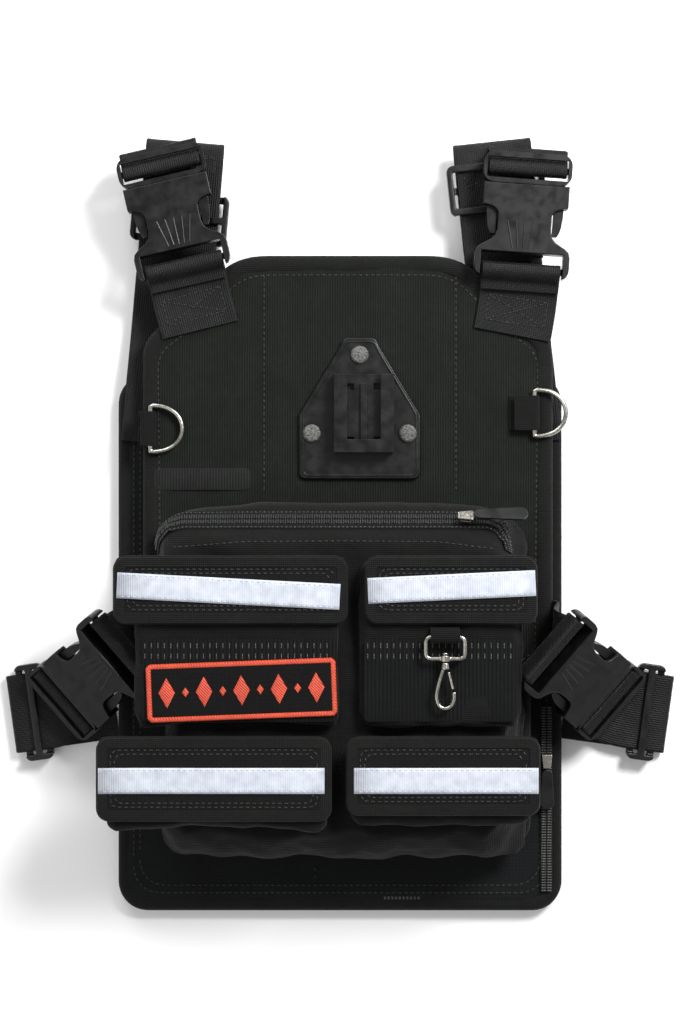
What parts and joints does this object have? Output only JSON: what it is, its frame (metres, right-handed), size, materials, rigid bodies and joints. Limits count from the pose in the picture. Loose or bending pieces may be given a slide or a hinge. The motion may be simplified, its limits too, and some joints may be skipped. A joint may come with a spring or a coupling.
{
  "type": "responder chest rig",
  "caption": "Padded black chest rig laid flat, with a rail dock, zipped pouch, flapped pockets, reflective bands, snap hook, D-rings and buckled webbing straps.",
  "frame": {"origin": "middle of the back panel's resting face", "axes": "+X to the viewer's right, +Y towards the wearer's head, +Z away from the wearer's chest"},
  "size_m": [0.4316, 0.4964, 0.0911],
  "materials": {
    "nylon": "matte ribbed nylon",
    "lining": "smooth coated lining",
    "webbing": "woven webbing with a slight sheen",
    "loop_field": "hook-and-loop pile",
    "black_plastic": "satin moulded acetal",
    "rivet": "speckled grey",
    "nickel": "polished nickel plate",
    "reflective_tape": "silver reflective weave",
    "patch": "embroidered thread on dark twill",
    "zip_coil": "nylon coil"
  },
  "bodies": {
    "rig": {"back_panel": "lining", "front_panel": "nylon", "pouch_body": "nylon", "pocket_upper_left": "nylon", "pocket_upper_right": "nylon", "pocket_lower_left": "nylon", "pocket_lower_right": "nylon", "loop_panel": "loop_field", "badge_patch": "patch", "main_zip_track": "zip_coil", "back_zip_track": "zip_coil", "dock_plate": "black_plastic", "dock_receiver": "black_plastic", "dock_rivet_1": "rivet", "dock_rivet_2": "rivet", "dock_rivet_3": "rivet", "d_ring_tab_left": "webbing", "d_ring_tab_right": "webbing", "hook_tab": "webbing", "socket_shoulder_left": "black_plastic", "socket_shoulder_right": "black_plastic", "socket_side_left": "black_plastic", "socket_side_right": "black_plastic", "anchor_strap_shoulder_left": "webbing", "anchor_strap_shoulder_right": "webbing", "anchor_strap_side_left": "webbing", "anchor_strap_side_right": "webbing", "strap_side_left": "webbing", "strap_side_right": "webbing", "tri_glide_side_left": "black_plastic", "tri_glide_side_right": "black_plastic"},
    "upper_left_flap": {"flap_upper_left": "nylon", "reflective_tape_upper_left": "reflective_tape"},
    "upper_right_flap": {"flap_upper_right": "nylon", "reflective_tape_upper_right": "reflective_tape"},
    "lower_left_flap": {"flap_lower_left": "nylon", "reflective_tape_lower_left": "reflective_tape"},
    "lower_right_flap": {"flap_lower_right": "nylon", "reflective_tape_lower_right": "reflective_tape"},
    "main_slider": {"main_zip_slider": "nickel"},
    "main_pull": {"main_zip_puller": "black_plastic"},
    "back_slider": {"back_zip_slider": "nickel"},
    "back_pull": {"back_zip_puller": "black_plastic"},
    "left_d_ring": {"d_ring_left": "nickel"},
    "right_d_ring": {"d_ring_right": "nickel"},
    "hook_ring": {"hook_loop": "nickel"},
    "snap_hook": {"hook_body": "nickel"},
    "snap_gate": {"hook_gate": "nickel"},
    "shoulder_left_plug": {"plug_shoulder_left": "black_plastic", "strap_shoulder_left": "webbing"},
    "shoulder_right_plug": {"plug_shoulder_right": "black_plastic", "strap_shoulder_right": "webbing"},
    "shoulder_left_glide": {"tri_glide_shoulder_left": "black_plastic"},
    "shoulder_right_glide": {"tri_glide_shoulder_right": "black_plastic"},
    "side_left_plug": {"plug_side_left": "black_plastic"},
    "side_right_plug": {"plug_side_right": "black_plastic"}
  },
  "joints": [
    {"name": "upper_left_flap_lift", "type": "hinge", "parent": "rig", "child": "upper_left_flap", "pos_m": [-0.0672, 0.0574, 0.0831], "axis": [-1, 0, 0], "range_deg": [0, 150]},
    {"name": "upper_right_flap_lift", "type": "hinge", "parent": "rig", "child": "upper_right_flap", "pos_m": [0.0682, 0.0574, 0.0831], "axis": [-1, 0, 0], "range_deg": [0, 150]},
    {"name": "lower_left_flap_lift", "type": "hinge", "parent": "rig", "child": "lower_left_flap", "pos_m": [-0.0772, -0.0532, 0.0871], "axis": [-1, 0, 0], "range_deg": [0, 115]},
    {"name": "lower_right_flap_lift", "type": "hinge", "parent": "rig", "child": "lower_right_flap", "pos_m": [0.0632, -0.0532, 0.0871], "axis": [-1, 0, 0], "range_deg": [0, 115]},
    {"name": "main_zip_run", "type": "slide", "parent": "rig", "child": "main_slider", "axis": [1, 0, 0], "range_m": [-0.175, 0.014]},
    {"name": "main_pull_swing", "type": "hinge", "parent": "main_slider", "child": "main_pull", "pos_m": [0.0866, 0.0829, 0.0686], "axis": [0, -0.8412, 0.5407], "range_deg": [0, 165]},
    {"name": "back_zip_run", "type": "slide", "parent": "rig", "child": "back_slider", "axis": [0, 1, 0], "range_m": [-0.075, 0.03]},
    {"name": "back_pull_swing", "type": "hinge", "parent": "back_slider", "child": "back_pull", "pos_m": [0.1325, -0.08435, 0.0178], "axis": [-1, 0, 0], "range_deg": [0, 150]},
    {"name": "left_d_ring_swing", "type": "hinge", "parent": "rig", "child": "left_d_ring", "pos_m": [-0.1205, 0.137, 0.0294], "axis": [0, -1, 0], "range_deg": [0, 150]},
    {"name": "right_d_ring_swing", "type": "hinge", "parent": "rig", "child": "right_d_ring", "pos_m": [0.1235, 0.147, 0.0294], "axis": [0, -1, 0], "range_deg": [0, 150]},
    {"name": "hook_ring_swing", "type": "hinge", "parent": "rig", "child": "hook_ring", "pos_m": [0.0645, 0.0074, 0.0874], "axis": [-1, 0, 0], "range_deg": [0, 120]},
    {"name": "snap_hook_swivel", "type": "hinge", "parent": "hook_ring", "child": "snap_hook", "pos_m": [0.0645, -0.0058, 0.0874], "axis": [0, 1, 0], "continuous": true},
    {"name": "snap_gate_press", "type": "hinge", "parent": "snap_hook", "child": "snap_gate", "pos_m": [0.0666, -0.014, 0.0874], "axis": [0, 0, -1], "range_deg": [0, 25], "stiffness_Nm_per_rad": 0.02},
    {"name": "shoulder_left_release", "type": "slide", "parent": "rig", "child": "shoulder_left_plug", "axis": [-0.225, 0.9744, 0], "range_m": [0, 0.034]},
    {"name": "shoulder_right_release", "type": "slide", "parent": "rig", "child": "shoulder_right_plug", "axis": [0.0698, 0.9976, 0], "range_m": [0, 0.034]},
    {"name": "shoulder_left_adjust", "type": "slide", "parent": "shoulder_left_plug", "child": "shoulder_left_glide", "axis": [0.0858, 0.9963, 0], "range_m": [-0.045, 0.018]},
    {"name": "shoulder_right_adjust", "type": "slide", "parent": "shoulder_right_plug", "child": "shoulder_right_glide", "axis": [-0.1054, 0.9944, 0], "range_m": [-0.028, 0]},
    {"name": "side_left_release", "type": "slide", "parent": "rig", "child": "side_left_plug", "axis": [-0.6106, -0.5308, -0.5878], "range_m": [0, 0.0045], "deforming": ["strap_side_left"]},
    {"name": "side_right_release", "type": "slide", "parent": "rig", "child": "side_right_plug", "axis": [0.6106, -0.5308, -0.5878], "range_m": [0, 0.008], "deforming": ["strap_side_right"]}
  ]
}
